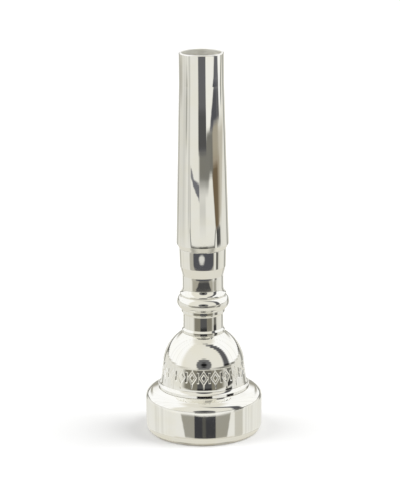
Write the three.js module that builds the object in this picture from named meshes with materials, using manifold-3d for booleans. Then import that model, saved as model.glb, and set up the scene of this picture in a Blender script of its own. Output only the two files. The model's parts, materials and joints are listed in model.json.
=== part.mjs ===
// A modular trumpet mouthpiece, stood on its rim with the shank pointing up.
//
// Four turned brass pieces screw or push together on one axis, +Z:
//   rim           the lip ring, with a female thread
//   cup           the bowl, with a male thread below and a threaded socket above
//   backbore      the neck and the long inner tube, with a male thread below
//   shank_sleeve  the tapered sleeve that covers the inner tube
// A rubber ring sits in each screw joint. The origin is the middle of the rim's high
// circle, on the plane that the rim rests on. Lengths are millimetres, angles degrees.

import * as THREE from 'three';
import { mergeVertices } from 'three/addons/utils/BufferGeometryUtils.js';
import Module from 'manifold-3d';

const wasm = await Module();
wasm.setup();

// ---------------------------------------------------------------- driving dimensions

const OVERALL_LENGTH = 87;
const RIM_RADIUS = 13.25; // at the top of the rim's wall
const CUP_RADIUS = 8.3; // inner edge of the rim
const CUP_DEPTH = 11.2; // from the inner edge to the bottom of the bowl's ellipse
const THROAT_RADIUS = 1.83; // the usual number 27 drill
const TIP_RADIUS = 5; // outside of the shank's tip
const TIP_BORE = 4.4; // inside of the shank's tip
const SHANK_TAPER = 1 / 20; // on diameter, the usual taper of a trumpet's receiver

const THREAD_PITCH = 1;
const THREAD_DEPTH = 0.45;
const THREAD_CLEARANCE = 0.15; // radial, from a crest to the root it faces
const RIDGE_ROOT = 0.6; // width of a thread ridge where it stands on its wall
const RIDGE_CREST = 0.16; // width of a thread ridge at its top

const SEAT_GAP = 0.02; // between faces that are screwed or pushed together
const SLIDE_GAP = 0.06; // radial, between the inner tube and the sleeve
const RING_GAP = 0.05; // round a rubber ring
const EDGE = 0.2; // a small edge break

// Heights of the planes where the pieces part, and of the main turned features.
const BOWL_SEAM = 4.6;
const RIM_SEAT = 10.25;
const BAND_FOOT = 12;
const BAND_TOP = 16.6;
const SOCKET_FLOOR = 15.3;
const CUP_SEAT = 23.15;
const SLEEVE_SEAT = 42.75;
const TUBE_END = 72;
const TUBE_RADIUS = 4.42; // outside of the inner tube
const TIP_LAND = 80; // the shank is a cylinder above this

const WIDE_FACETS = 36; // round the rim and cup
const NARROW_FACETS = 24; // round the backbore and sleeve
const ARC_STEP = 18; // most degrees between two points of a round stretch
const FINE_ARC_STEP = 6; // the same, where a stretch is short but wide

// Each screw joint is named by its male core. Its thread runs from start to end, and its
// rubber ring lies round the core, just under the seat.
const RIM_SCREW = {
  core: 9, start: 5.7, end: 8.7, seat: RIM_SEAT, ringThickness: 0.8, facets: WIDE_FACETS,
};
const CUP_SCREW = {
  core: 3.4, start: 18.6, end: 21.6, seat: CUP_SEAT, ringThickness: 0.7, facets: NARROW_FACETS,
};

// ---------------------------------------------------------------- outlines

const { degToRad, radToDeg } = THREE.MathUtils;

const point = (radius, height) => new THREE.Vector2(radius, height);

// Points along the arc of an upright ellipse, from one angle to another.
function arc(centre, acrossAxis, upAxis, from, to, step = ARC_STEP) {
  const curve = new THREE.EllipseCurve(
    centre.x, centre.y, acrossAxis, upAxis, degToRad(from), degToRad(to), to < from,
  );
  return curve.getPoints(Math.ceil(Math.abs(to - from) / step));
}

// Points along a curve that leaves start towards pull, and comes to end from pull.
function bend(start, pull, end, divisions) {
  return new THREE.QuadraticBezierCurve(start, pull, end).getPoints(divisions);
}

// The bowl is the lower half of an ellipse, cut away at its middle by the throat.
const bowlMouth = point(0, CUP_RADIUS * 0.15);

function bowlArc(from, to, step) {
  return arc(bowlMouth, CUP_RADIUS, CUP_DEPTH, from, to, step);
}

function bowlAngle(height) {
  return radToDeg(Math.asin((height - bowlMouth.y) / CUP_DEPTH));
}

function shankRadius(height) {
  return TIP_RADIUS + Math.max(0, TIP_LAND - height) * (SHANK_TAPER / 2);
}

// The counterbore that holds a screw joint's rubber ring, from its mouth inwards, and
// the plain bore below it as far as floorHeight.
function socket(screw, floorHeight) {
  const pocketRadius = screw.core + screw.ringThickness + 2 * RING_GAP;
  const pocketFloor = screw.seat - screw.ringThickness - 2 * RING_GAP;
  const bore = screw.core + THREAD_CLEARANCE;
  return [
    point(pocketRadius, screw.seat),
    point(pocketRadius, pocketFloor),
    point(bore + EDGE, pocketFloor),
    point(bore, pocketFloor - EDGE),
    point(bore, floorHeight),
  ];
}

// ---------------------------------------------------------------- solids

// A ring turned about the Z axis from a closed outline of radius and height.
function turned(outline, facets) {
  const closed = [...outline, outline[0]];
  const distinct = closed.filter((p, i) => i === 0 || !p.equals(closed[i - 1]));
  return toSolid(new THREE.LatheGeometry(distinct, facets).rotateX(Math.PI / 2));
}

function toSolid(geometry) {
  const bare = geometry.clone();
  bare.deleteAttribute('normal');
  bare.deleteAttribute('uv');
  const merged = mergeVertices(bare);
  return new wasm.Manifold(new wasm.Mesh({
    numProp: 3,
    vertProperties: new Float32Array(merged.attributes.position.array),
    triVerts: new Uint32Array(merged.index.array),
  }));
}

function toGeometry(solid) {
  const mesh = solid.getMesh();
  const geometry = new THREE.BufferGeometry();
  geometry.setAttribute('position', new THREE.BufferAttribute(mesh.vertProperties, 3));
  geometry.setIndex(new THREE.BufferAttribute(mesh.triVerts, 1));
  geometry.computeVertexNormals();
  return geometry;
}

// A right-hand helix about the Z axis. Over its first and last quarter turns it closes
// in on the axis by runOut.
class Helix extends THREE.Curve {
  constructor(radius, start, end, runOut) {
    super();
    this.radius = radius;
    this.start = start;
    this.end = end;
    this.runOut = runOut;
    this.turns = (end - start) / THREAD_PITCH;
  }

  angle(t) {
    return 2 * Math.PI * this.turns * t;
  }

  getPoint(t, target = new THREE.Vector3()) {
    const closeness = Math.max(0, 1 - 4 * this.turns * Math.min(t, 1 - t));
    const radius = this.radius - this.runOut * closeness;
    const height = THREE.MathUtils.lerp(this.start, this.end, t);
    return target.set(radius * Math.cos(this.angle(t)), radius * Math.sin(this.angle(t)), height);
  }

  // Equal steps of t, so that every section matches its frame.
  getSpacedPoints(divisions) {
    return this.getPoints(divisions);
  }

  // A section's x runs outward from the axis and its y runs down it.
  computeFrenetFrames(segments) {
    const frames = { tangents: [], normals: [], binormals: [] };
    for (let i = 0; i <= segments; i += 1) {
      const angle = this.angle(i / segments);
      frames.normals.push(new THREE.Vector3(Math.cos(angle), Math.sin(angle), 0));
      frames.binormals.push(new THREE.Vector3(0, 0, -1));
      frames.tangents.push(new THREE.Vector3(-Math.sin(angle), Math.cos(angle), 0));
    }
    return frames;
  }
}

const flankSlope = (RIDGE_ROOT - RIDGE_CREST) / THREAD_DEPTH;
const threadRunOut = THREAD_DEPTH + EDGE / 2;

// A trapezium swept along a helix, from inner to outer of it. It has the given width at
// the helix and narrows outwards.
function threadSweep(helix, inner, outer, width, facets) {
  const halfWidth = (offset) => (width - flankSlope * offset) / 2;
  const section = new THREE.Shape([
    point(inner, -halfWidth(inner)),
    point(outer, -halfWidth(outer)),
    point(outer, halfWidth(outer)),
    point(inner, halfWidth(inner)),
  ]);
  const steps = Math.round(helix.turns * facets);
  return toSolid(
    new THREE.ExtrudeGeometry(section, { extrudePath: helix, steps, bevelEnabled: false }),
  );
}

// A ridge that stands on the core.
function maleThread(screw) {
  const helix = new Helix(screw.core, screw.start, screw.end, threadRunOut);
  return threadSweep(helix, -EDGE, THREAD_DEPTH, RIDGE_ROOT, screw.facets);
}

// A groove cut into the bore, round the male ridge, out through the bore's mouth. The
// metal left between its turns has a ridge's own section.
function threadGroove(screw) {
  const bore = screw.core + THREAD_CLEARANCE;
  const helix = new Helix(bore, screw.start, screw.end + THREAD_PITCH, threadRunOut);
  return threadSweep(helix, -EDGE, THREAD_DEPTH, THREAD_PITCH - RIDGE_CREST, screw.facets);
}

// ---------------------------------------------------------------- rim

function makeRim() {
  const wallFoot = point(12.28, 1.9);
  const footAcross = 0.91;
  const shoulderCentre = point(7, 7.9);
  const shoulderAcross = RIM_RADIUS - shoulderCentre.x;
  const shoulderUp = 2.8;
  const shoulderEnd = radToDeg(Math.asin((RIM_SEAT - shoulderCentre.y) / shoulderUp));
  const highInner = point(9.4, 0);
  const highOuter = point(10.3, 0);
  const faceEnd = point(12.42, 0.08);
  const floor = BOWL_SEAM - RING_GAP;
  const outline = [
    highInner,
    ...bend(highOuter, point(11.6, 0), faceEnd, 3),
    ...arc(wallFoot, footAcross, wallFoot.y - faceEnd.y / 2, -72, 0),
    ...arc(shoulderCentre, shoulderAcross, shoulderUp, 0, shoulderEnd),
    ...socket(RIM_SCREW, floor),
    ...bowlArc(bowlAngle(floor), 0, FINE_ARC_STEP),
    ...arc(point(highInner.x, bowlMouth.y), highInner.x - CUP_RADIUS, bowlMouth.y, 195, 270),
  ];
  return turned(outline, WIDE_FACETS).subtract(threadGroove(RIM_SCREW));
}

// ---------------------------------------------------------------- cup

function makeCup() {
  const flange = point(10.35, 10.9);
  const coveAcross = 0.65;
  const bandTopRadius = 9.12;
  const domeRadius = 9.32;
  const domeCentre = point(0, 15.14);
  const domeFoot = 10;
  const domeEnd = radToDeg(Math.asin((CUP_SEAT - domeCentre.y) / domeRadius));
  const throatMouth = 1.4 * THROAT_RADIUS;
  const throatMouthAngle = radToDeg(Math.acos(throatMouth / CUP_RADIUS));
  const bowl = bowlArc(throatMouthAngle, bowlAngle(BOWL_SEAM));
  const throatEdge = bend(
    point(THROAT_RADIUS, bowl[0].y + 1.1), point(THROAT_RADIUS, bowl[0].y + 0.35), bowl[0], 3,
  );
  const underside = RIM_SEAT + SEAT_GAP;
  const outline = [
    point(RIM_SCREW.core - EDGE, BOWL_SEAM),
    point(RIM_SCREW.core, BOWL_SEAM + EDGE),
    point(RIM_SCREW.core, underside),
    point(flange.x, underside),
    ...arc(point(flange.x, BAND_FOOT), coveAcross, BAND_FOOT - flange.y, 270, 180),
    point(bandTopRadius, BAND_TOP),
    ...arc(domeCentre, domeRadius, domeRadius, domeFoot, domeEnd),
    ...socket(CUP_SCREW, SOCKET_FLOOR),
    point(THROAT_RADIUS, SOCKET_FLOOR),
    ...throatEdge,
    ...bowl,
  ];
  return turned(outline, WIDE_FACETS)
    .add(maleThread(RIM_SCREW))
    .subtract(threadGroove(CUP_SCREW));
}

// ---------------------------------------------------------------- backbore

// The bore opens slowly above the throat and faster towards the tube's end.
function backboreBore(bottom) {
  const throatEnd = SOCKET_FLOOR + 1.7;
  const tubeBore = 3.62;
  return [
    ...bend(point(tubeBore, TUBE_END), point(2.37, 47), point(THROAT_RADIUS, throatEnd), 8),
    point(THROAT_RADIUS, bottom),
  ];
}

// The neck between the cup's dome and the beads, with a low ring at each end.
function neckOutline(underside) {
  const neckRadius = 4.55;
  const lowRing = 4.85;
  const highRing = 4.95;
  return [
    point(lowRing, underside),
    point(lowRing, 23.8),
    point(neckRadius, 24.25),
    ...bend(point(neckRadius, 27.35), point(neckRadius + 0.05, 27.8), point(highRing, 28), 3),
    point(highRing, 28.65),
  ];
}

// A large bead below a small one, and a cove from the small bead up to the waist.
function beadOutline(waistRadius) {
  const largeBead = { centre: point(4.08, 30.3), radius: 1.84 };
  const smallBead = arc(point(4.72, 32.06), 0.56, 0.56, -26, 50);
  const coveTop = 33.6;
  return [
    ...arc(largeBead.centre, largeBead.radius, largeBead.radius, -52, 52),
    ...smallBead,
    ...bend(smallBead.at(-1), point(waistRadius + 0.1, 32.85), point(waistRadius, coveTop), 3),
  ];
}

function makeBackbore() {
  const waistRadius = 4.63;
  const waistTop = 36.5;
  const collarFoot = point(5.19, 38.6);
  const collarTop = 5.3;
  const underside = CUP_SEAT + SEAT_GAP;
  const noseRadius = CUP_SCREW.core - EDGE;
  const noseEnd = SOCKET_FLOOR + RING_GAP;
  const outline = [
    point(noseRadius - EDGE, noseEnd),
    point(noseRadius, noseEnd + EDGE),
    point(noseRadius, CUP_SCREW.start - 2 * EDGE),
    point(CUP_SCREW.core, CUP_SCREW.start - EDGE),
    point(CUP_SCREW.core, underside),
    ...neckOutline(underside),
    ...beadOutline(waistRadius),
    point(waistRadius, waistTop),
    collarFoot,
    point(collarTop, SLEEVE_SEAT),
    point(TUBE_RADIUS, SLEEVE_SEAT),
    point(TUBE_RADIUS, TUBE_END - EDGE),
    point(TUBE_RADIUS - EDGE, TUBE_END),
    ...backboreBore(noseEnd),
  ];
  return turned(outline, NARROW_FACETS).add(maleThread(CUP_SCREW));
}

// ---------------------------------------------------------------- shank sleeve

function makeShankSleeve() {
  const bottom = SLEEVE_SEAT + SEAT_GAP;
  const bore = TUBE_RADIUS + SLIDE_GAP;
  const chamferTop = 43.85;
  const footRadius = 5.3;
  const stop = point(3.66, TUBE_END + RING_GAP);
  const lip = 0.25;
  const outline = [
    point(footRadius, bottom),
    point(shankRadius(chamferTop), chamferTop),
    point(shankRadius(TIP_LAND), TIP_LAND),
    ...arc(point(TIP_RADIUS - lip, OVERALL_LENGTH - lip), lip, lip, 0, 90),
    point(TIP_BORE + lip / 2, OVERALL_LENGTH),
    point(TIP_BORE, OVERALL_LENGTH - lip / 2),
    stop,
    point(bore, stop.y),
    point(bore, bottom + EDGE),
    point(bore + EDGE, bottom),
  ];
  return turned(outline, NARROW_FACETS);
}

// ---------------------------------------------------------------- rubber rings

function makeRubberRing(screw) {
  const thickness = screw.ringThickness / 2;
  const radius = screw.core + RING_GAP + thickness;
  return new THREE.TorusGeometry(radius, thickness, 8, screw.facets);
}

function ringHeight(screw) {
  return screw.seat - RING_GAP - screw.ringThickness / 2;
}

// ---------------------------------------------------------------- assembly

const silverPlate = new THREE.MeshStandardMaterial({
  color: 0xe9e7e1, roughness: 0.12, metalness: 1,
});
const rubber = new THREE.MeshStandardMaterial({ color: 0x1b1b1c, roughness: 0.7, metalness: 0 });

function named(name, geometry, material) {
  const mesh = new THREE.Mesh(geometry, material);
  mesh.name = name;
  return mesh;
}

const rimRing = named('rim_o_ring', makeRubberRing(RIM_SCREW), rubber);
rimRing.position.z = ringHeight(RIM_SCREW);

const cupRing = named('backbore_o_ring', makeRubberRing(CUP_SCREW), rubber);
cupRing.position.z = ringHeight(CUP_SCREW);

const mouthpiece = new THREE.Group();
mouthpiece.add(
  named('rim', toGeometry(makeRim()), silverPlate),
  rimRing,
  named('cup', toGeometry(makeCup()), silverPlate),
  cupRing,
  named('backbore', toGeometry(makeBackbore()), silverPlate),
  named('shank_sleeve', toGeometry(makeShankSleeve()), silverPlate),
);

export default mouthpiece;
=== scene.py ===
# A silver-plated trumpet mouthpiece in a white studio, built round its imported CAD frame.
#
# Every metal piece is turned again, finely, from the outline of its own CAD node: the
# facets become smooth arcs, corners get a small edge break, and the threads and the
# engraved border are worked into the surface. Lengths are metres and angles are radians,
# except in the studio, which says what it uses.

import json
import math
from collections import namedtuple

import bpy
import numpy as np
from mathutils import Euler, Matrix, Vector


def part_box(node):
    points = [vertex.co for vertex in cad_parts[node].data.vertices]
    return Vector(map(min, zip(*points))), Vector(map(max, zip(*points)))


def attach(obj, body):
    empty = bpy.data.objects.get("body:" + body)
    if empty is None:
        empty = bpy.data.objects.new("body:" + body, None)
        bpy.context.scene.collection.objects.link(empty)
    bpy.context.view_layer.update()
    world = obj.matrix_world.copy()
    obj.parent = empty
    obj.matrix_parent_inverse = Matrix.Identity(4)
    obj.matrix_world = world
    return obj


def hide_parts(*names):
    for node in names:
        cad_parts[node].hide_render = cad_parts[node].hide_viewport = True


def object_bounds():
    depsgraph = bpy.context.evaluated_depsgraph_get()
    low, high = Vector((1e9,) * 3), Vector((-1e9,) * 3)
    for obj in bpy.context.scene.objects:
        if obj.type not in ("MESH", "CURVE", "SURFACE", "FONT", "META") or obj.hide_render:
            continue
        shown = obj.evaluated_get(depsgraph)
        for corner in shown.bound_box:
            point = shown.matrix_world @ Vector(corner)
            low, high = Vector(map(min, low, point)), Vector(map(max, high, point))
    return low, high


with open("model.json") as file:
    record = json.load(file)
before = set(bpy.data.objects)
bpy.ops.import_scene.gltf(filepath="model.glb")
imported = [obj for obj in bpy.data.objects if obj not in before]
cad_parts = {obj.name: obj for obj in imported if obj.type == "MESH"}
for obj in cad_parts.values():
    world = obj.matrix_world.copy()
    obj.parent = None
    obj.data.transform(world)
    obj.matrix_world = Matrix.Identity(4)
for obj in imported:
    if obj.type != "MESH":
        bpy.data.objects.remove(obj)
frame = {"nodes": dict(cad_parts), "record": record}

cad_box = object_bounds()

MM = 0.001
MICRON = 1e-6
TURN = 2 * math.pi
FLOOR = cad_box[0].z
HEIGHT = cad_box[1].z - cad_box[0].z
PITCH = TURN / frame["record"]["behaviour"]["couplings"][0]["ratio"]
BODY_OF = {
    node: body for body, nodes in frame["record"]["behaviour"]["bodies"].items() for node in nodes
}


# ---------------------------------------------------------------- outlines
#
# An outline is a closed loop of points (radius, height), run with the metal on its left.

SHARPEST_SMOOTH_TURN = math.radians(26)  # a sharper turn in a CAD outline is a corner
LONGEST_CHORD_RATIO = 2.5  # a chord this many times its neighbour isn't part of the same arc
FINE_TURN = math.radians(3)  # the turn from one chord of a finely drawn arc to the next
LEAST_CORNER = 2 * FINE_TURN
EDGE_RADIUS = 0.08 * MM
EDGE_POINTS = 5
LARGEST_EASE = 0.4  # the most that an eased corner takes of a chord beside it
BRACE = 0.03 * MM
LEAST_BRACED = 8 * BRACE
SAME_PLACE = 2 * MICRON


def cad_outline(node):
    """The closed outline of a turned CAD node, as (radius, height), from its edges at y = 0."""
    mesh = frame["nodes"][node].data
    keys = {}
    for vertex in mesh.vertices:
        x, y, z = vertex.co
        if abs(y) < MICRON and x > 0:
            keys[vertex.index] = (round(x / MICRON), round(z / MICRON))
    links = {}
    for edge in mesh.edges:
        a, b = (keys.get(index) for index in edge.vertices)
        if a and b and a != b:
            links.setdefault(a, set()).add(b)
            links.setdefault(b, set()).add(a)
    start = min(links, key=lambda key: (key[1], key[0]))
    walk = [start, min(links[start])]
    while walk[-1] != start:
        walk.append(next(key for key in links[walk[-1]] if key != walk[-2]))
    points = np.array(walk[:-1], float) * MICRON
    following = np.roll(points, -1, axis=0)
    area = np.sum(points[:, 0] * following[:, 1] - following[:, 0] * points[:, 1])
    return points if area > 0 else points[::-1]


def headings(points):
    """The length and heading of each chord of a closed outline, and the turn at each point."""
    chords = np.roll(points, -1, axis=0) - points
    heading = np.arctan2(chords[:, 1], chords[:, 0])
    turn = (heading - np.roll(heading, 1) + math.pi) % TURN - math.pi
    return np.hypot(*chords.T), heading, turn


def curved_chords(length, turn):
    """Which chords of an outline stand for a piece of an arc, and which points are smooth."""
    count = len(length)
    smooth = np.abs(turn) < SHARPEST_SMOOTH_TURN
    curved = np.zeros(count, bool)
    for i in range(count):
        j = (i + 1) % count
        if smooth[i] and smooth[j] and turn[i] * turn[j] > 0:
            curved[i] = length[i] < LONGEST_CHORD_RATIO * min(length[i - 1], length[j])
    for i in range(count):
        j = (i + 1) % count
        if smooth[i] != smooth[j]:
            beside = i - 1 if smooth[i] else j
            close = length[i] < LONGEST_CHORD_RATIO * length[beside]
            curved[i] = curved[beside] and close
    return curved, smooth


def arc_points(a, b, leave, arrive):
    """Points from a, up to but without b, on a curve with those headings at its ends."""
    bow = abs(arrive - leave) / 2
    handle = np.hypot(*(b - a)) * 2 / (3 * (1 + math.cos(bow)))
    p = a + handle * np.array([math.cos(leave), math.sin(leave)])
    q = b - handle * np.array([math.cos(arrive), math.sin(arrive)])
    steps = max(2, math.ceil(2 * bow / FINE_TURN))
    t = np.linspace(0, 1, steps, endpoint=False)[:, None]
    return (1 - t) ** 3 * a + 3 * (1 - t) ** 2 * t * p + 3 * (1 - t) * t**2 * q + t**3 * b


def heading_between(first, second, share):
    """The heading that is share of the way from the first to the second."""
    turn = (second - first + math.pi) % TURN - math.pi
    return first + share * turn


def smooth_outline(points):
    """The outline with its arcs drawn finely. Corners and straight runs stay."""
    length, heading, turn = headings(points)
    curved, smooth = curved_chords(length, turn)

    def tangent(i):
        """The heading at point i, or None at a corner."""
        if not smooth[i]:
            return None
        if curved[i - 1] and curved[i]:
            share = length[i - 1] / (length[i - 1] + length[i])
            return heading_between(heading[i - 1], heading[i], share)
        return heading[i] if curved[i - 1] else heading[i - 1]

    fine = []
    for i, point in enumerate(points):
        j = (i + 1) % len(points)
        if not curved[i]:
            fine.append(point[None])
            continue
        leave, arrive = tangent(i), tangent(j)
        if leave is None:
            leave = heading_between(arrive, heading[i], 2)
        if arrive is None:
            arrive = heading_between(leave, heading[i], 2)
        arrive = heading_between(leave, arrive, 1)
        fine.append(arc_points(point, points[j], leave, arrive))
    return np.concatenate(fine)


def eased_corners(points):
    """The outline with every corner rounded off."""
    length, heading, turn = headings(points)
    fine = []
    for i, corner in enumerate(points):
        if abs(turn[i]) < LEAST_CORNER:
            fine.append(corner)
            continue
        shorter = min(length[i - 1], length[i])
        back = min(EDGE_RADIUS * math.tan(abs(turn[i]) / 2), LARGEST_EASE * shorter)
        a = corner - back * np.array([math.cos(heading[i - 1]), math.sin(heading[i - 1])])
        b = corner + back * np.array([math.cos(heading[i]), math.sin(heading[i])])
        for t in np.linspace(0, 1, EDGE_POINTS):
            fine.append((1 - t) ** 2 * a + 2 * (1 - t) * t * corner + t**2 * b)
    return np.array(fine)


def braced(points):
    """The outline with a point just inside each end of a long chord, to keep its shading flat."""
    length, _, _ = headings(points)
    fine = []
    for a, b, run in zip(points, np.roll(points, -1, axis=0), length):
        fine.append(a)
        if run > LEAST_BRACED:
            fine.append(a + (b - a) * BRACE / run)
            fine.append(b - (b - a) * BRACE / run)
    return np.array(fine)


# ---------------------------------------------------------------- threads

# wall: the radius it stands on. root and crest: a ridge's width at its foot and top.
Thread = namedtuple("Thread", "wall depth root crest start end")

LEAST_THREAD_DEPTH = 0.3 * MM
RUN_OUT = 1.2  # how far a thread sinks at each end, in depths
ENDING = 0.25  # the part of a turn over which it sinks
ROWS_PER_PITCH = 20


def take_threads(points):
    """The outline without its thread ridges, and the threads that it had.

    A ridge, or a groove in a bore, is two points out from the two beside them on the wall.
    """
    a, b, c, d = (np.roll(points, -k, axis=0) for k in range(4))
    level = (np.abs(a - d)[:, 0] < SAME_PLACE) & (np.abs(b - c)[:, 0] < SAME_PLACE)
    first = np.flatnonzero(level & (b[:, 0] - a[:, 0] > LEAST_THREAD_DEPTH))
    bare = np.delete(points, [(i + k) % len(points) for i in first for k in (1, 2)], axis=0)
    threads = []
    for wall in sorted({round(a[i, 0] / MICRON) for i in first}):
        ridges = [i for i in first if round(a[i, 0] / MICRON) == wall]
        middles = [(a[i, 1] + d[i, 1]) / 2 for i in ridges]
        i = ridges[0]
        threads.append(Thread(
            wall=a[i, 0],
            depth=b[i, 0] - a[i, 0],
            root=abs(a[i, 1] - d[i, 1]),
            crest=abs(b[i, 1] - c[i, 1]),
            start=min(middles) - PITCH,
            end=max(middles) + PITCH,
        ))
    return bare, threads


def thread_relief(thread, turns, height):
    """How far a thread stands out from its wall, at a place given in turns and height."""
    length = (thread.end - thread.start) / PITCH
    along = (height - thread.start) / PITCH
    nearest = np.clip(np.round(along - turns) + turns, 0, length)
    aside = np.abs(along - nearest) * PITCH
    flank = (thread.root - thread.crest) / 2
    ridge = thread.depth * np.minimum((thread.root / 2 - aside) / flank, 1)
    ending = np.clip(1 - np.minimum(nearest, length - nearest) / ENDING, 0, 1)
    return np.maximum(ridge - ending * RUN_OUT * thread.depth, 0)


# ---------------------------------------------------------------- engraved border

MOTIFS = 22
ENGRAVED_HEIGHT = 2.4 * MM
ENGRAVED_DEPTH = 0.15 * MM
ENGRAVED_LEVEL = 0.6  # where its middle is, as a share of the band's height
STROKE = 0.40 * MM
STROKE_EDGE = 0.09 * MM
ENGRAVED_ROW = 0.075 * MM
LOZENGE = 0.30  # half a lozenge's width, as a share of a motif's
BORDER_COLUMNS = 4  # columns round the border, for each one elsewhere
NEAR_BORDER = 5 * MICRON

# A turned surface that carries the border: its foot, its top, and its radius there.
Border = namedtuple("Border", "foot top foot_radius top_radius")


def find_border(points):
    """The cup's band: of its long straight stretches, the one furthest out."""
    length, _, _ = headings(points)
    following = np.roll(points, -1, axis=0)
    outward = np.where(length > ENGRAVED_HEIGHT, points[:, 0] + following[:, 0], 0)
    i = int(np.argmax(outward))
    return Border(points[i, 1], following[i, 1], points[i, 0], following[i, 0])


def stroke(distance):
    """1 on the middle of an engraved line, 0 beside it, from the distance to the line."""
    return np.clip((STROKE / 2 - np.abs(distance)) / STROKE_EDGE + 0.5, 0, 1)


def border_middle(border):
    """The height of the border's centre line."""
    return border.foot + ENGRAVED_LEVEL * (border.top - border.foot)


def border_relief(border, turns, height):
    """The depth of a chain of lozenges and bars, at a place given in turns and height."""
    width = TURN * (border.foot_radius + border.top_radius) / 2 / MOTIFS
    across = (turns * MOTIFS % 1 - 0.5) * width
    up = height - border_middle(border)
    half = ENGRAVED_HEIGHT / 2
    side = LOZENGE * width
    lozenge = (np.abs(across) * half + np.abs(up) * side - half * side) / math.hypot(half, side)
    bar = width / 2 - np.abs(across)
    in_bar = np.clip((half - np.abs(up)) / STROKE_EDGE, 0, 1)
    return ENGRAVED_DEPTH * np.maximum(stroke(lozenge), stroke(bar) * in_bar)


# ---------------------------------------------------------------- turned pieces

COLUMNS = 180  # round a turned piece
WIDE_COLUMNS = 200  # round the rim, the widest one


def with_rows(points, low, high, step):
    """The outline with chords split, so that rows are at most a step apart from low to high."""
    fine = []
    for a, b in zip(points, np.roll(points, -1, axis=0)):
        fine.append(a[None])
        bottom, top = sorted((a[1], b[1]))
        if top <= low or bottom >= high or top - bottom <= step:
            continue
        first, last = max(bottom, low), min(top, high)
        heights = np.linspace(first, last, math.ceil((last - first) / step) + 1)
        heights = heights[(heights > bottom + MICRON) & (heights < top - MICRON)]
        share = np.sort((heights - a[1]) / (b[1] - a[1]))[:, None]
        fine.append(a + share * (b - a))
    return np.concatenate(fine)


def on_border(border, points):
    """Which points of an outline lie on the border's surface."""
    share = (points[:, 1] - border.foot) / (border.top - border.foot)
    radius = border.foot_radius + share * (border.top_radius - border.foot_radius)
    return (share > 0) & (share < 1) & (np.abs(points[:, 0] - radius) < NEAR_BORDER)


def ring_faces(first, second):
    """Faces between two closed rings of vertices. One ring may have a multiple of the other's."""
    cells = min(len(first), len(second))

    def side(ring, cell):
        share = len(ring) // cells
        return [ring[(cell * share + k) % len(ring)] for k in range(share + 1)]

    return [side(first, cell) + side(second, cell)[::-1] for cell in range(cells)]


def turned_mesh(name, points, columns, threads=(), border=None):
    """A closed mesh turned from an outline, with its threads and its engraved border.

    The faces of its bore, where the outline heads downwards, take the second material.
    """
    engraved = on_border(border, points) if border else np.zeros(len(points), bool)
    vertices, rings = [], []
    for (radius, height), fine in zip(points, engraved):
        count = columns * BORDER_COLUMNS if fine else columns
        turns = np.arange(count) / count
        radii = np.full(count, radius)
        if fine:
            radii -= border_relief(border, turns, height)
        for thread in threads:
            if radius > thread.wall - MICRON:
                radii = np.maximum(radii, thread.wall + thread_relief(thread, turns, height))
        rings.append(range(len(vertices), len(vertices) + count))
        for r, t in zip(radii, turns * TURN):
            vertices.append((r * math.cos(t), r * math.sin(t), height))
    faces, in_bore = [], []
    heads_down = np.roll(points[:, 1], -1) < points[:, 1]
    for first, second, down in zip(rings, rings[1:] + rings[:1], heads_down):
        cells = ring_faces(first, second)
        faces.extend(cells)
        in_bore.extend([int(down)] * len(cells))
    mesh = bpy.data.meshes.new(name)
    mesh.from_pydata(vertices, [], faces)
    mesh.polygons.foreach_set("material_index", in_bore)
    mesh.shade_smooth()
    return mesh


def add_object(name, data):
    """A new object in the scene."""
    thing = bpy.data.objects.new(name, data)
    bpy.context.scene.collection.objects.link(thing)
    return thing


def stand_for(node, mesh, *materials):
    """A piece that shows a CAD node, on that node's body. Larger faces lead its shading."""
    piece = add_object(mesh.name, mesh)
    for material in materials:
        mesh.materials.append(material)
    shading = piece.modifiers.new("even_shading", "WEIGHTED_NORMAL")
    shading.weight = 100
    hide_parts(node)
    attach(piece, BODY_OF[node])
    return piece


def make_turned(node, columns, outside, bore, bordered=False):
    """Turns a CAD node again, finely, with a material for its outside and one for its bore."""
    bare, threads = take_threads(cad_outline(node))
    border = find_border(bare) if bordered else None
    points = braced(eased_corners(smooth_outline(bare)))
    for thread in threads:
        low, high = thread.start - PITCH / 2, thread.end + PITCH / 2
        points = with_rows(points, low, high, PITCH / ROWS_PER_PITCH)
    if border:
        middle = border_middle(border)
        margin = (ENGRAVED_HEIGHT + STROKE) / 2 + ENGRAVED_ROW
        points = with_rows(points, middle - margin, middle + margin, ENGRAVED_ROW)
    mesh = turned_mesh("turned_" + node, points, columns, threads, border)
    return stand_for(node, mesh, outside, bore)


# ---------------------------------------------------------------- shader helpers


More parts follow.
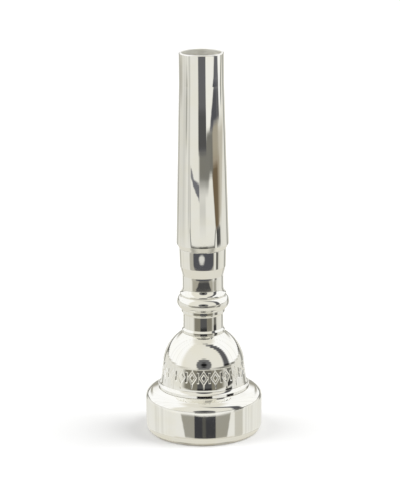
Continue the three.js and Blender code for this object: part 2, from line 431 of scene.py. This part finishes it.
class Shader:
    """Short ways to add the nodes of one shader and join them up."""

    def __init__(self, owner):
        owner.use_nodes = True
        self.tree = owner.node_tree
        self.tree.nodes.clear()

    def add(self, kind, inputs=None, **settings):
        """Adds a node. Its inputs are fed by other nodes' outputs, or are plain values."""
        node = self.tree.nodes.new("ShaderNode" + kind)
        for name, value in settings.items():
            setattr(node, name, value)
        for name, source in (inputs or {}).items():
            if isinstance(source, bpy.types.NodeSocket):
                self.tree.links.new(source, node.inputs[name])
            else:
                node.inputs[name].default_value = source
        return node

    def call(self, kind, output=0, inputs=None, **settings):
        """Adds a node and returns one of its outputs."""
        return self.add(kind, inputs, **settings).outputs[output]

    def finish(self, surface, kind="OutputMaterial"):
        self.add(kind, {"Surface": surface})

    def math(self, operation, *values):
        return self.call("Math", 0, dict(enumerate(values)), operation=operation)

    def total(self, first, *others):
        for other in others:
            first = self.math("ADD", first, other)
        return first

    def product(self, first, *others):
        for other in others:
            first = self.math("MULTIPLY", first, other)
        return first

    def step(self, value, start, end):
        """0 before start, 1 after end, and smooth between. Start may be the larger."""
        inputs = {"Value": value, "From Min": start, "From Max": end}
        return self.call("MapRange", 0, inputs, interpolation_type="SMOOTHSTEP")

    def scaled(self, value, low, high, new_low, new_high, clamp=True):
        """The value, with low and high moved to new_low and new_high."""
        inputs = {
            "Value": value, "From Min": low, "From Max": high, "To Min": new_low, "To Max": new_high,
        }
        return self.call("MapRange", 0, inputs, clamp=clamp)

    def mix(self, factor, first, second):
        """A colour between two others."""
        return self.call("Mix", 2, {0: factor, 6: first, 7: second}, data_type="RGBA")

    def noise(self, vector, scale, detail=2.0, roughness=0.5):
        inputs = {"Vector": vector, "Scale": scale, "Detail": detail, "Roughness": roughness}
        return self.call("TexNoise", "Fac", inputs)

    def vector(self, x, y, z):
        return self.call("CombineXYZ", 0, {"X": x, "Y": y, "Z": z})

    def vector_math(self, operation, *values):
        return self.call("VectorMath", 0, dict(enumerate(values)), operation=operation)

    def parts(self, vector):
        """The x, y and z of a vector."""
        return list(self.add("SeparateXYZ", {0: vector}).outputs)


def tone(brightness, warmth=0.0):
    """A linear colour, shown at a brightness from 0 to 1. A little warmth is yellow, more brown."""
    red = brightness + 0.4 * warmth
    green = brightness + warmth * (0.34 - 2.7 * abs(warmth))
    blue = brightness - 0.6 * warmth
    return [max(shown, 0) ** 2.2 for shown in (red, green, blue)] + [1]


# ---------------------------------------------------------------- materials


TURNING_LINE = 0.12 * MM  # from one turning line to the next
TURNING_WAVE = 1.5 * MM  # the slower waves that the tool left
RIPPLE = 6 * MM
SCRATCH = 0.35 * MM
SCRATCH_STRETCH = (1.0, 1.0, 7.0)  # scratches run round the piece, as it was polished
SMUDGE = 5 * MM
MOTTLE = 3.5 * MM
CORNER_REACH = 1.2 * MM  # how near another surface must be to make a corner


def turning_tilt(shader, place):
    """How far the surface leans up from where it should face, by its turning lines and ripples."""
    x, y, z = shader.parts(place)
    squares = shader.total(shader.product(x, x), shader.product(y, y))
    rings = shader.vector(shader.math("SQRT", squares), 0.0, z)
    lines = shader.noise(rings, 1 / TURNING_LINE, detail=3)
    waves = shader.noise(rings, 1 / TURNING_WAVE, detail=1)
    ripple = shader.noise(place, 1 / RIPPLE, detail=1)
    return shader.total(
        shader.scaled(lines, 0.3, 0.7, -0.002, 0.002),
        shader.scaled(waves, 0.3, 0.7, -0.0025, 0.0025),
        shader.scaled(ripple, 0.3, 0.7, -0.003, 0.003),
    )


def polish(shader, place, smoothest, roughest):
    """The plate's roughness: smudges from smoothest to roughest, and fine scratches on them."""
    smudges = shader.noise(place, 1 / SMUDGE, detail=3)
    stretched = shader.vector_math("MULTIPLY", place, SCRATCH_STRETCH)
    scratches = shader.noise(stretched, 1 / SCRATCH, detail=4, roughness=0.7)
    return shader.total(
        shader.scaled(smudges, 0.35, 0.7, smoothest, roughest),
        shader.product(shader.step(scratches, 0.62, 0.74), 0.05),
    )


def plate_colour(shader, place, normal):
    """Clean silver, a little yellow in patches, with thin brown tarnish in its corners."""
    mottle = shader.noise(place, 1 / MOTTLE, detail=4)
    clean = shader.mix(shader.step(mottle, 0.35, 0.75), tone(0.985, 0.012), tone(0.975, 0.03))
    reach = {"Distance": CORNER_REACH, "Normal": normal}
    openness = shader.call("AmbientOcclusion", "AO", reach, samples=4)
    tarnish = shader.product(
        shader.step(openness, 0.62, 0.2), shader.scaled(mottle, 0.3, 0.7, 0.25, 0.9),
    )
    return shader.mix(tarnish, clean, tone(0.70, 0.10))


def silver_plate(finish, smoothest, roughest):
    """Silver plate, turned and then polished or reamed."""
    material = bpy.data.materials.new("silver_plate_" + finish)
    shader = Shader(material)
    place = shader.call("TexCoord", "Object")
    normal = shader.call("NewGeometry", "Normal")
    up = shader.vector(0.0, 0.0, turning_tilt(shader, place))
    leaning = shader.vector_math("NORMALIZE", shader.vector_math("ADD", normal, up))
    shader.finish(shader.call("BsdfPrincipled", 0, {
        "Base Color": plate_colour(shader, place, normal),
        "Metallic": 1.0,
        "Roughness": polish(shader, place, smoothest, roughest),
        "Normal": leaning,
    }))
    return material


RUBBER_GRAIN = 0.12 * MM
RUBBER_GRAIN_DEPTH = 0.02 * MM
DUST_PATCH = 1.4 * MM


def nitrile_rubber():
    """Black moulded rubber: a fine grain, dusty paler patches and a slight oily sheen."""
    material = bpy.data.materials.new("nitrile_rubber_moulded")
    shader = Shader(material)
    place = shader.call("TexCoord", "Object")
    grain = shader.noise(place, 1 / RUBBER_GRAIN, detail=5, roughness=0.65)
    dust = shader.noise(place, 1 / DUST_PATCH, detail=3)
    bump = {"Height": grain, "Strength": 0.35, "Distance": RUBBER_GRAIN_DEPTH}
    shader.finish(shader.call("BsdfPrincipled", 0, {
        "Base Color": shader.mix(shader.step(dust, 0.45, 0.75), tone(0.14), tone(0.21, 0.01)),
        "Roughness": shader.scaled(dust, 0.3, 0.7, 0.42, 0.62),
        "Normal": shader.call("Bump", 0, bump),
    }))
    return material


# ---------------------------------------------------------------- rubber rings


RING_COLUMNS = 160
RING_POINTS = 40  # round the ring's own section
SEAM_HEIGHT = 0.02 * MM
SEAM_WIDTH = math.radians(4)  # seen from the middle of the section


def make_rubber_ring(node, material):
    """A moulded ring with the thin seam of its mould round the outside and the inside."""
    low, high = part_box(node)
    thickness = (high.z - low.z) / 2
    middle = np.array([high.x - thickness, (low.z + high.z) / 2])
    section = []
    for angle in np.linspace(0, TURN, RING_POINTS, endpoint=False):
        from_seam = (angle + math.pi / 2) % math.pi - math.pi / 2
        radius = thickness + SEAM_HEIGHT * math.exp(-((from_seam / SEAM_WIDTH) ** 2))
        section.append(middle + radius * np.array([math.cos(angle), math.sin(angle)]))
    mesh = turned_mesh("moulded_" + node, np.array(section), RING_COLUMNS)
    return stand_for(node, mesh, material, material)


# ---------------------------------------------------------------- studio
#
# The metal's reflections are painted: a tent wall close round the object, which glows though it
# is no lamp and is seen by rays that leave the metal downwards, and a wider painted room above
# it, with a painted table below. Here directions are in degrees: an azimuth is 0 towards the
# camera and positive to its right, an elevation is 0 at the horizon. Heights on the tent's wall are
# in millimetres above the table.

# A soft-edged card of painted reflection on the tent's wall, or in the room, where its foot and top
# are elevations.
# A side is one value, or two where it slopes: left and right at the card's foot and top, foot
# and top at its left and right. The edges fade over blur in height and spread in azimuth.
Card = namedtuple("Card", "left right foot top shade warmth blur spread", defaults=(0.04, 0.8, 3.0))

# An oval spot of painted reflection, by its middle and half its width and height. Its edge fades
# over a share of those, softness. At a squareness of 2 it is an ellipse, above that a rounded
# rectangle.
Oval = namedtuple(
    "Oval", "azimuth height half_width half_height shade warmth softness squareness", defaults=(2,),
)

FAR = 200  # beyond the wall's ends, or right round it
COLUMN = (-16, 19.5)  # the gap in the tent that the camera looks through, painted dark in reflections
SLOT = (59, 78)  # a slot beside it, painted dark in reflections

WALL_SHADE = 0.875
WALL = [
    # High up, painted reflections for the shank: soft folds at the left, the gap and the slot, the
    # dark fold that joins them, and the brown fold of cloth below it.
    Card(-FAR, -100, 33, FAR, 0.83, 0.035, 6, 16),
    Card(-134, -110, 67, 77, 0.70, 0.05, 4, 6),
    Card(-100, -84, 33, 76, 0.79, 0.03, 8, 8),
    Card(-82, -73, 58, 73, 0.58, 0.03, 5, 4),
    Card(-66, -57, 36, FAR, 0.76, 0.03, 6, 3),
    Card((-55, -56), (-51, -53), 33, 49, 0.70, 0.02, 3, 1.5),
    Card(18, 58, 62, FAR, 0.915, 0.03, 2, 3),
    Card(80, 104, 66, FAR, 0.99, 0.01, 3, 3),
    Card((80, 76), (88, 118), 38, 62, 0.71, 0.08, 3, 6),
    Card((101, 113), (109, 121), 67, 79, 0.48, 0.04, 2, 3),
    Card(46, 82, 53, 64, 0.60, 0.09, 1.5, 5),
    Card((60, 42), (80, 86), 37, 54.5, 0.54, 0.12, 2.5, 4),
    Card((58, 44), 75, 36, 52.5, 0.37, 0.13, 1.5, 3),
    Card((34, 50), (50, 64), 61, 68, 0.42, -0.02, 1.5, 4),
    Card((10, 24), 50, 50.5, 61.5, 0.44, 0.03, 1.5, 4),
    Card((41, 60), (91, 89), 63.5, 72, 0.33, -0.02, 1.2, 3),
    Card((60, 66), (89, 84), 71, 80, 0.38, -0.02, 1.2, 2.5),
    Card(-13, (28, 46), 47.5, 60, 0.46, 0.03, 3.5, 5),
    Card(*COLUMN, 56.5, FAR, 0.39, -0.01, 1.2, 1.6),
    Card(*COLUMN, 57, 67, 0.32, 0.0, 1.5, 1.6),
    Card(-12, 14, 38, 46, 0.78, 0.03, 5, 4),
    Card(-53, -38, (50.0, 47.5), (52.6, 49.8), 0.52, -0.01, 0.5, 2),
    Card(-42, -13, (48.2, 44.2), (49.6, 48.6), 0.44, -0.02, 0.5, 2),
    Card(62, 82, 31.8, 36.6, 0.25, 0.0, 0.8, 2),
    Card((-51, -57), (-46, -54), 32.0, 36.5, 0.52, 0.02, 0.5, 1.5),
    Card((48, 55), (53, 59), 32.0, 36.5, 0.52, 0.02, 0.5, 1.5),
    Card(-49, 52, 31.3, 32.7, 0.43, 0.03, 0.25, 3),
    Card(*COLUMN, 31.2, 32.7, 0.28, 0.02, 0.25, 4),
    # The middle: painted reflections for the collar, the waist and the neck.
    Card(-60, 60, 25.9, 31.0, 0.82, 0.05, 0.5, 6),
    Card(*COLUMN, 25.9, 31.0, 0.46, 0.05, 0.8, 3),
    Oval(-5, 23.3, 61, 3.5, 0.66, 0.05, 0.05, 6),
    Oval(3, 23.5, 49, 3.1, 0.33, -0.02, 0.06, 5),
    Card(66, 80, 20.2, 26.7, 0.33, 0.02, 0.5, 2),
    Oval(-5, 23.4, 13, 1.25, 0.82, 0.03, 0.35),
    Card(-60, 56, 12.6, 20.3, 0.62, 0.06, 0.4, 6),
    Card((-42, -20), (47, 30), 17.6, 20.3, 0.29, 0.0, 0.4, 3),
    Card(*COLUMN, 15.0, 17.0, 0.53, 0.05, 0.8, 3),
    Card(*COLUMN, 12.0, 15.0, 0.34, 0.02, 0.8, 3),
    Card(*SLOT, 12.8, 20.3, 0.60, 0.05, 0.5, 3),
    Card(-52, 52, 6.0, 12.8, 0.47, 0.06, 0.5, 8),
    Card(*COLUMN, 6.0, 12.4, 0.33, 0.0, 0.5, 2),
    Card(*COLUMN, 5.6, 7.8, 0.20, 0.0, 0.4, 2),
    Card(*SLOT, 5.6, 12.4, 0.42, 0.03, 0.5, 3),
    Card(*SLOT, 5.6, 8.4, 0.20, 0.0, 0.5, 2),
    # The foot: painted reflections for the flange and the rim.
    Card(-FAR, FAR, -10.1, 4.5, 0.90, 0.02, 0.8, 1),
    Card(*COLUMN, -8, 3.0, 0.17, 0.0, 0.8, 2),
    Card(55, 75, -10.5, 4.5, 0.12, 0.0, 0.8, 2),
    Card(-FAR, FAR, -10.1, -8.0, 0.95, 0.03, 0.5, 1),
    Card(-FAR, FAR, -FAR, -10.4, 0.89, 0.03, 0.4, 1),
    Card((-34, -42), (41, 49), -16.6, -10.4, 0.58, 0.05, 0.5, 1.5),
    Card(-17, 20.5, -16.6, -10.4, 0.25, -0.01, 0.4, 1),
    Card(-3, 3, -16.6, -10.4, 0.33, 0.02, 0.4, 2),
    Card(57, 75, -FAR, -10.4, 0.745, 0.05, 0.5, 1.5),
    Card(-56, 56, -FAR, -16.9, 0.80, 0.07, 0.8, 6),
    # The back of the tent: painted dark reflections of the joint between two cloths, and of a stand
    # to each side of it.
    Card(172, FAR, -FAR, FAR, 0.55, 0.02, 1, 3),
    Card(-FAR, -172, -FAR, FAR, 0.55, 0.02, 1, 3),
    Card(126, 142, -9, FAR, 0.60, 0.03, 1, 3),
    Card(-142, -134, -9, FAR, 0.52, 0.04, 1, 2),
]


def compass(shader, x, y):
    """The azimuth in degrees of a direction or a place."""
    azimuth = shader.math("ARCTAN2", x, shader.product(y, -1.0))
    return shader.product(azimuth, math.degrees(1))


def angle_up(shader, rise):
    """The elevation in degrees of a direction that rises by this much, as a unit vector does."""
    clamped = shader.math("MINIMUM", shader.math("MAXIMUM", rise, -1.0), 1.0)
    return shader.product(shader.math("ARCSINE", clamped), math.degrees(1))


def sloping(shader, side, along, ends):
    """A card's side: its one value, or a line through its two values at two ends."""
    if not isinstance(side, tuple):
        return side
    slope = (side[1] - side[0]) / (ends[1] - ends[0])
    return shader.math("MULTIPLY_ADD", along, slope, side[0] - slope * ends[0])


def between(shader, value, low, high, soft):
    """1 between low and high and 0 outside them, fading over soft to each side of both."""
    above_low = shader.step(shader.math("SUBTRACT", value, low), -soft, soft)
    below_high = shader.step(shader.math("SUBTRACT", high, value), -soft, soft)
    return shader.product(above_low, below_high)


def card_mask(shader, azimuth, height, card):
    """1 on the card, 0 off it."""
    sides = (float(np.mean(card.left)), float(np.mean(card.right)))
    levels = (float(np.mean(card.foot)), float(np.mean(card.top)))
    left, right = (sloping(shader, side, height, levels) for side in (card.left, card.right))
    foot, top = (sloping(shader, side, azimuth, sides) for side in (card.foot, card.top))
    across = between(shader, azimuth, left, right, card.spread)
    return shader.product(across, between(shader, height, foot, top, card.blur))


def oval_mask(shader, azimuth, height, oval):
    """1 on the oval, 0 off it."""
    powers = []
    for value, middle, half in (
        (azimuth, oval.azimuth, oval.half_width), (height, oval.height, oval.half_height),
    ):
        offset = shader.scaled(value, middle, middle + half, 0.0, 1.0, clamp=False)
        powers.append(shader.math("POWER", shader.math("ABSOLUTE", offset), oval.squareness))
    distance = shader.math("POWER", shader.total(*powers), 1 / oval.squareness)
    return shader.step(distance, 1 + oval.softness, 1 - oval.softness)


def paint(shader, colour, azimuth, height, shapes):
    """The colour with cards and ovals laid over it, one after another."""
    for shape in shapes:
        mask = oval_mask if isinstance(shape, Oval) else card_mask
        inside = mask(shader, azimuth, height, shape)
        colour = shader.mix(inside, colour, tone(shape.shade, shape.warmth))
    return colour


FOLDS_FROM = (50, 85)  # how far round from the camera the folds of the cloth begin
FOLD_STRENGTH = 0.34


def paint_reflected_folds(shader, colour, place, azimuth):
    """The colour with faint upright folds of the cloth painted in as darker reflections, away from
    the front.
    """
    aside = shader.step(shader.math("ABSOLUTE", azimuth), *FOLDS_FROM)
    folds = shader.step(shader.noise(place, 1.0, detail=2, roughness=0.5), 0.45, 0.75)
    return shader.mix(shader.product(folds, aside, FOLD_STRENGTH), colour, tone(0.72, 0.04))


TENT_RADIUS = 60 * MM
TENT_LOW = -60 * MM
TENT_HIGH = 150 * MM
TENT_COLUMNS = 128
FOLD_WIDTH = 7 * MM
FOLD_LENGTH = 80 * MM
STEEPEST_FALL = (28.0, 24.0)  # the tent fades out for rays that fall more steeply than this


def tent_reflection_paint():
    """The tent's wall of painted reflections, which glows though it is no lamp, clear to all rays
    but those that leave the metal downwards.
    """
    material = bpy.data.materials.new("tent_painted_reflections")
    shader = Shader(material)
    place = shader.call("NewGeometry", "Position")
    x, y, z = shader.parts(place)
    azimuth = compass(shader, x, y)
    height = shader.product(z, 1 / MM)
    colour = paint(shader, tone(WALL_SHADE, 0.035), azimuth, height, WALL)
    folding = (1 / FOLD_WIDTH, 1 / FOLD_WIDTH, 1 / FOLD_LENGTH)
    folds = shader.vector_math("MULTIPLY", place, folding)
    colour = paint_reflected_folds(shader, colour, folds, azimuth)
    back_to_metal = shader.parts(shader.call("NewGeometry", "Incoming"))[2]
    fall = angle_up(shader, back_to_metal)
    solid = shader.product(shader.step(fall, -1.0, 1.0), shader.step(fall, *STEEPEST_FALL))
    # The painted reflections glow by emission; the tent is no lamp.
    glow = shader.call("Emission", 0, {"Color": colour, "Strength": 1.0})
    clear = shader.call("BsdfTransparent")
    shader.finish(shader.call("MixShader", 0, {0: solid, 1: clear, 2: glow}))
    material.cycles.emission_sampling = "NONE"
    return material


def make_tent():
    """A tall open ring round the object, glowing with painted reflections, seen only in reflections.
    """
    angles = np.arange(TENT_COLUMNS) / TENT_COLUMNS * TURN
    vertices = [(TENT_RADIUS * math.cos(a), TENT_RADIUS * math.sin(a), z)
                for z in (TENT_LOW, TENT_HIGH) for a in angles]
    foot, top = range(TENT_COLUMNS), range(TENT_COLUMNS, 2 * TENT_COLUMNS)
    mesh = bpy.data.meshes.new("tent")
    mesh.from_pydata(vertices, [], ring_faces(foot, top))
    mesh.materials.append(tent_reflection_paint())
    tent = add_object("tent", mesh)
    tent.visible_camera = False
    tent.visible_diffuse = False
    tent.visible_shadow = False
    tent.visible_transmission = False
    tent.visible_volume_scatter = False


DAYLIGHT = 0.27  # the share of white that the table has from all round
ROOM_FOLD = 5.0  # degrees
SLOT_TOP = 74  # the elevation at which the slot has bent over to the middle
SLOT_BEND = (56, 38)  # how far its left and right sides have come round there
CAMERA_SPOT = (1, 15, 22, 17)  # the camera's painted reflection in the room: azimuth, elevation and half sizes
LENS_SHARE = 0.38  # the lens's size, as a share of the camera's

# Painted reflections of the ceiling cloth over the front, the grey folds that hang from it at both
# sides, and its top.
CEILING = [
    Card(-66, 60, -2, 70, 0.875, 0.05, 5, 7),
    Card((168.7, 144), (182.7, 158), 3, 20, 0.60, 0.06, 5, 6),
    Card((-182.7, -158), (-168.7, -144), 3, 20, 0.60, 0.06, 5, 6),
    Card(-FAR, FAR, 67, FAR, 0.85, 0.055, 7, 1),
]

# Painted reflections of the camera in the middle of the front, the table's far edge at the horizon,
# then the table itself, with the object's shadows painted on it to both sides.
FRONT_AND_TABLE = [
    Oval(*CAMERA_SPOT, 0.42, 0.0, 0.12),
    Oval(*CAMERA_SPOT[:2], *(LENS_SHARE * size for size in CAMERA_SPOT[2:]), 0.12, 0.0, 0.5),
    Card(-FAR, FAR, -3, 2.5, 0.78, 0.045, 1.5, 1),
    Card(-20, 100, -2, 3.5, 0.52, 0.03, 1.5, 8),
    Card(132, 172, -3, 5, 0.34, 0.02, 2, 8),
    Card(-172, -132, -3, 5, 0.34, 0.02, 2, 8),
    Card(-FAR, FAR, -FAR, -4.5, 0.84, 0.055, 1.5, 1),
    Card(-FAR, FAR, -FAR, -70, 0.74, 0.06, 15, 1),
    Card(62, 132, -80, -60, 0.60, 0.04, 4, 26),
    Card(-132, -62, -80, -60, 0.60, 0.04, 4, 26),
]


def paint_slot(shader, colour, azimuth, elevation):
    """The colour with the slot beside the camera painted dark, a painted reflection which bends over
    the top of the tent.
    """
    share = shader.math("MAXIMUM", shader.product(elevation, 1 / SLOT_TOP), 0.0)
    bend = shader.math("POWER", share, 6.0)
    left, right = (shader.math("MULTIPLY_ADD", bend, by, azimuth) for by in SLOT_BEND)
    inside = shader.product(
        shader.step(left, SLOT[0] - 4, SLOT[0] + 4),
        shader.step(right, SLOT[1] + 4, SLOT[1] - 4),
        shader.step(elevation, 84, 64),
    )
    colour = shader.mix(inside, colour, tone(0.36, -0.01))
    at_foot = shader.product(inside, shader.step(elevation, 10, 4))
    return shader.mix(at_foot, colour, tone(0.15))


def make_room():
    """The world: white to the camera, daylight to the table, and a room of painted reflections to
    the metal.
    """
    world = bpy.data.worlds.new("studio_room")
    bpy.context.scene.world = world
    shader = Shader(world)
    x, y, z = shader.parts(shader.call("TexCoord", "Generated"))
    azimuth = compass(shader, x, y)
    elevation = angle_up(shader, z)
    folds = shader.vector(shader.product(azimuth, 1 / ROOM_FOLD), 0.0, 0.0)
    colour = paint_reflected_folds(shader, tone(1.0, 0.004), folds, azimuth)
    colour = paint(shader, colour, azimuth, elevation, CEILING)
    colour = paint_slot(shader, colour, azimuth, elevation)
    colour = paint(shader, colour, azimuth, elevation, FRONT_AND_TABLE)

    path = shader.add("LightPath").outputs
    # Reflections see the painted room; the table's diffuse light is even daylight.
    lit = shader.mix(path["Is Glossy Ray"], [DAYLIGHT] * 3 + [1], colour)
    shown = shader.mix(path["Is Camera Ray"], lit, [1, 1, 1, 1])
    background = shader.call("Background", 0, {"Color": shown, "Strength": 1.0})
    shader.finish(background, "OutputWorld")


# Two wide soft lamps, which the metal doesn't mirror, throw the object's shadows to both sides.
LAMP_WIDTH = math.radians(50)
LAMP_ELEVATION = math.radians(47)
LAMP_ASIDE = math.radians(94)


def make_lamp(name, azimuth, share):
    """A lamp far off in a direction, that gives the table that share of white."""
    data = bpy.data.lights.new(name, "SUN")
    data.angle = LAMP_WIDTH
    data.energy = share * math.pi / math.sin(LAMP_ELEVATION)
    lamp = add_object(name, data)
    level = math.cos(LAMP_ELEVATION)
    to_lamp = Vector((
        level * math.sin(azimuth), -level * math.cos(azimuth), math.sin(LAMP_ELEVATION),
    ))
    lamp.rotation_euler = to_lamp.to_track_quat("Z", "Y").to_euler()
    lamp.visible_glossy = False


TABLE_REACH = 40 * HEIGHT
TABLE_PATCH = 40 * MM


def make_table():
    """A pale matt table top, which the metal doesn't mirror: it sees the table painted in the room,
    with painted shadows.
    """
    material = bpy.data.materials.new("pale_table")
    shader = Shader(material)
    place = shader.call("TexCoord", "Object")
    patches = shader.noise(place, 1 / TABLE_PATCH, detail=4)
    colour = shader.mix(patches, tone(0.955, 0.004), tone(0.965, 0.0))
    shader.finish(shader.call("BsdfDiffuse", 0, {"Color": colour}))
    square = ((-1, -1), (1, -1), (1, 1), (-1, 1))
    corners = [(x * TABLE_REACH, y * TABLE_REACH, FLOOR) for x, y in square]
    mesh = bpy.data.meshes.new("table_top")
    mesh.from_pydata(corners, [], [(0, 1, 2, 3)])
    mesh.materials.append(material)
    table = add_object("table_top", mesh)
    table.visible_glossy = False


# ---------------------------------------------------------------- camera

SENSOR = 36.0  # in millimetres, as is the lens
LENS = 149.15
CAMERA_DISTANCE = 449.7 * MM  # from the object's axis
CAMERA_HEIGHT = 162.5 * MM
CAMERA_ASIDE = -0.62 * MM
CAMERA_PITCH = math.radians(14.99)
CAMERA_ROLL = math.radians(-0.445)


def make_camera():
    """A camera in front of the object, that looks down a little."""
    data = bpy.data.cameras.new("camera")
    data.sensor_width = SENSOR
    data.lens = LENS
    data.clip_start = 0.01
    camera = add_object("camera", data)
    camera.location = (CAMERA_ASIDE, -CAMERA_DISTANCE, CAMERA_HEIGHT)
    level = Euler((math.pi / 2 - CAMERA_PITCH, 0, 0)).to_matrix()
    roll = Euler((0, 0, CAMERA_ROLL)).to_matrix()
    camera.rotation_euler = (level @ roll).to_euler()
    bpy.context.scene.camera = camera


# ---------------------------------------------------------------- scene

polished = silver_plate("polished", 0.02, 0.05)
reamed = silver_plate("reamed", 0.42, 0.50)
rubber = nitrile_rubber()
make_turned("rim", WIDE_COLUMNS, polished, polished)
make_rubber_ring("rim_o_ring", rubber)
make_turned("cup", COLUMNS, polished, polished, bordered=True)
make_rubber_ring("backbore_o_ring", rubber)
make_turned("backbore", COLUMNS, polished, reamed)
make_turned("shank_sleeve", COLUMNS, polished, reamed)
make_tent()
make_room()
make_lamp("lamp_right", LAMP_ASIDE, 0.60)
make_lamp("lamp_left", -LAMP_ASIDE, 0.40)
make_table()
make_camera()
bpy.context.scene.view_settings.view_transform = "Standard"
# Light goes back and forth many times inside the bore.
bpy.context.scene.cycles.max_bounces = 24
bpy.context.scene.cycles.glossy_bounces = 24
